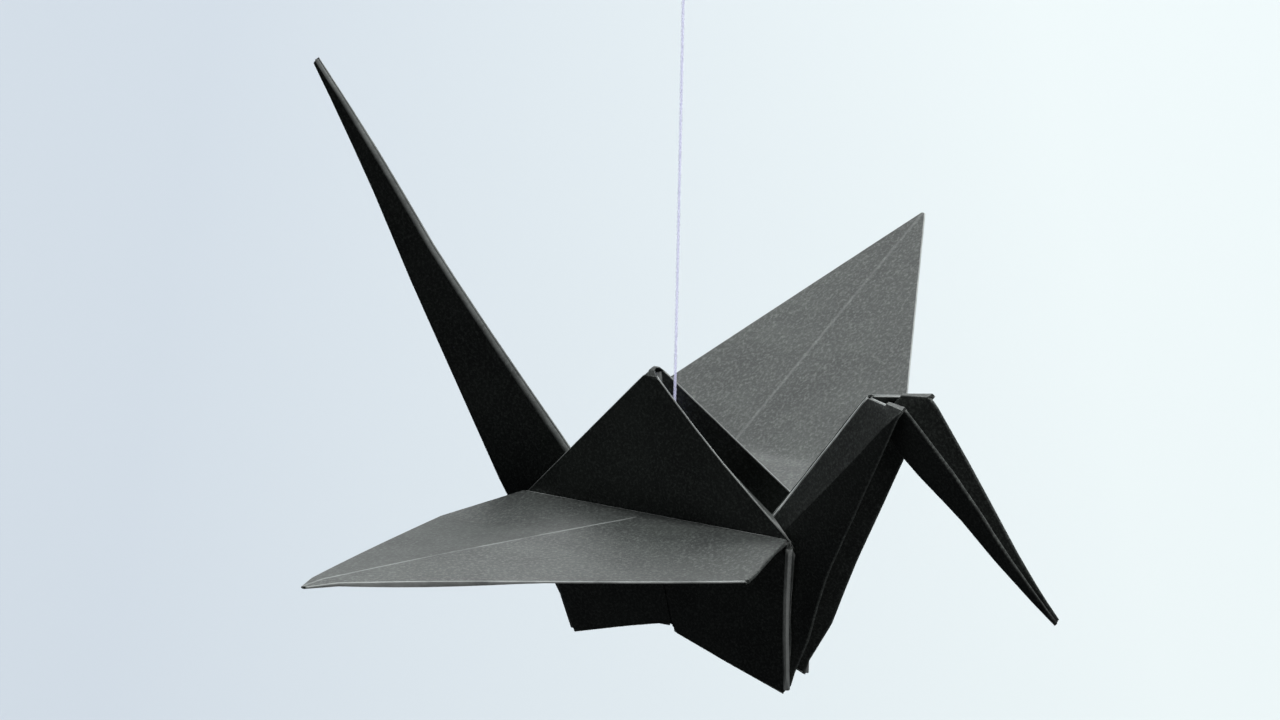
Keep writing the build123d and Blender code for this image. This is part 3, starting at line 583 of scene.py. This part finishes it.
underneath = [vertex.normal.z < -0.3 for vertex in crane.data.vertices]
for vertex in crane.data.vertices:
    fixed = vertex.co / MM + Vector((THREAD_FRONT * cos(NOSE_UP), 0, HOOK_HEIGHT))
    x = fixed.x * cos(NOSE_UP) + fixed.z * sin(NOSE_UP)
    z = fixed.z * cos(NOSE_UP) - fixed.x * sin(NOSE_UP)
    move = give(x, fixed.y, z)
    if fixed.y < -UNDER_FROM and underneath[vertex.index]:
        ahead = max(0.0, x - (-WING_MIDDLE[0] + WING_MIDDLE[1] * fixed.y)) / (0.44 * (62.5 + fixed.y))
        move.z -= UNDER_SAG * sin(pi * (-fixed.y - UNDER_FROM) / 23.4) * ease(ahead, 0.1, 0.9)
    vertex.co = hung(x + move.x, fixed.y + move.y, z + move.z) * MM
crane.data.update()
bpy.ops.object.shade_smooth_by_angle(angle=radians(50))
steady = crane.modifiers.new("steady_normals", "WEIGHTED_NORMAL")
steady.mode = "FACE_AREA"
steady.weight = 90
steady.keep_sharp = True
bpy.ops.object.modifier_apply(modifier="steady_normals")
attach(crane, "root")
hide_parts("folded_sheet")

# Floor
# A plain matt painted floor well below the crane. Its colour is painted a little paler towards its right, as the
# ground behind
# the real one is: a painted light falloff. Its pale paint is what the camera sees; other rays find it dark, as in
# a dim room.
FLOOR_HEIGHT = -0.26
FLOOR_SIZE = 9
bpy.ops.object.select_all(action="DESELECT")
bpy.ops.mesh.primitive_plane_add(size=FLOOR_SIZE, location=(0, 0, FLOOR_HEIGHT))
floor = bpy.context.object
floor.name = "floor"
floor_paint = bpy.data.materials.new("pale_floor_paint")
floor_paint.use_nodes = True
shader = floor_paint.node_tree.nodes["Principled BSDF"]
shader.inputs["Roughness"].default_value = 0.8
shader.inputs["Specular IOR Level"].default_value = 0.1
place = add_node(floor_paint, "ShaderNodeTexCoord")
turned = add_node(floor_paint, "ShaderNodeMapping", {"Vector": place.outputs["Object"]})
turned.inputs["Rotation"].default_value = (0, 0, radians(-33))
run = add_node(floor_paint, "ShaderNodeSeparateXYZ", {"Vector": turned.outputs["Vector"]})
# Painted light falloff: the floor's colour is paler towards its right
painted_falloff = add_node(floor_paint, "ShaderNodeMapRange", {"Value": run.outputs["X"]})
painted_falloff.inputs["From Min"].default_value = -0.09
painted_falloff.inputs["From Max"].default_value = 0.09
pale = add_node(floor_paint, "ShaderNodeMix", {"Factor": painted_falloff.outputs["Result"]}, data_type="RGBA")
pale.inputs["A"].default_value = colour("#C6CED7")
pale.inputs["B"].default_value = colour("#DEE5E6")
seen = add_node(floor_paint, "ShaderNodeLightPath")
kept = add_node(floor_paint, "ShaderNodeMix",
                {"Factor": seen.outputs["Is Camera Ray"], "B": pale.outputs["Result"]}, data_type="RGBA")
kept.inputs["A"].default_value = colour("#242628")
floor_paint.node_tree.links.new(kept.outputs["Result"], shader.inputs["Base Color"])
floor.data.materials.append(floor_paint)

# Light
# Soft daylight from behind and above the crane, a large window there and a strip of ceiling light, a small
# window in front of the neck, and a dim room on the camera's side. The camera itself sees a pale room.
DAYLIGHT_FROM = (-0.48, 0.78, 0.40)
room = bpy.data.worlds.new("pale_room")
scene.world = room
room.use_nodes = True
backdrop = room.node_tree.nodes["Background"]
backdrop.inputs["Color"].default_value = colour("#E3EEF4")
glow = add_node(room, "ShaderNodeTexCoord")
towards = add_node(room, "ShaderNodeVectorMath", {0: glow.outputs["Generated"]}, operation="DOT_PRODUCT")
towards.inputs[1].default_value = DAYLIGHT_FROM
bright = add_node(room, "ShaderNodeMapRange", {"Value": towards.outputs["Value"]},
                  interpolation_type="SMOOTHSTEP")
bright.inputs["From Min"].default_value = 0.15
bright.inputs["From Max"].default_value = 0.85
bright.inputs["To Min"].default_value = 0.0
bright.inputs["To Max"].default_value = 1.55
dim = add_node(room, "ShaderNodeBackground", {"Strength": bright.outputs["Result"]})
dim.inputs["Color"].default_value = colour("#E4E9EA")
light_path = add_node(room, "ShaderNodeLightPath")
either = add_node(room, "ShaderNodeMixShader",
                  {"Fac": light_path.outputs["Is Camera Ray"], 1: dim.outputs["Background"],
                   2: backdrop.outputs["Background"]})
room.node_tree.links.new(either.outputs["Shader"], room.node_tree.nodes["World Output"].inputs["Surface"])


def window_light(name, place, width, height, power):
    """A soft rectangular light that faces the crane."""
    data = bpy.data.lights.new(name, "AREA")
    data.shape = "RECTANGLE"
    data.size = width
    data.size_y = height
    data.energy = power
    lamp = bpy.data.objects.new(name, data)
    scene.collection.objects.link(lamp)
    lamp.location = place
    lamp.rotation_euler = (Vector((0, 0, -0.09)) - lamp.location).to_track_quat("-Z", "Y").to_euler()


window_light("rear_window", (-0.45, 1.3, 0.6), 1.6, 1.0, 8)
window_light("ceiling", (-0.05, 0.3, 1.5), 0.9, 0.3, 16)
window_light("side_window", (1.25, -0.09, -0.04), 0.7, 0.3, 4)
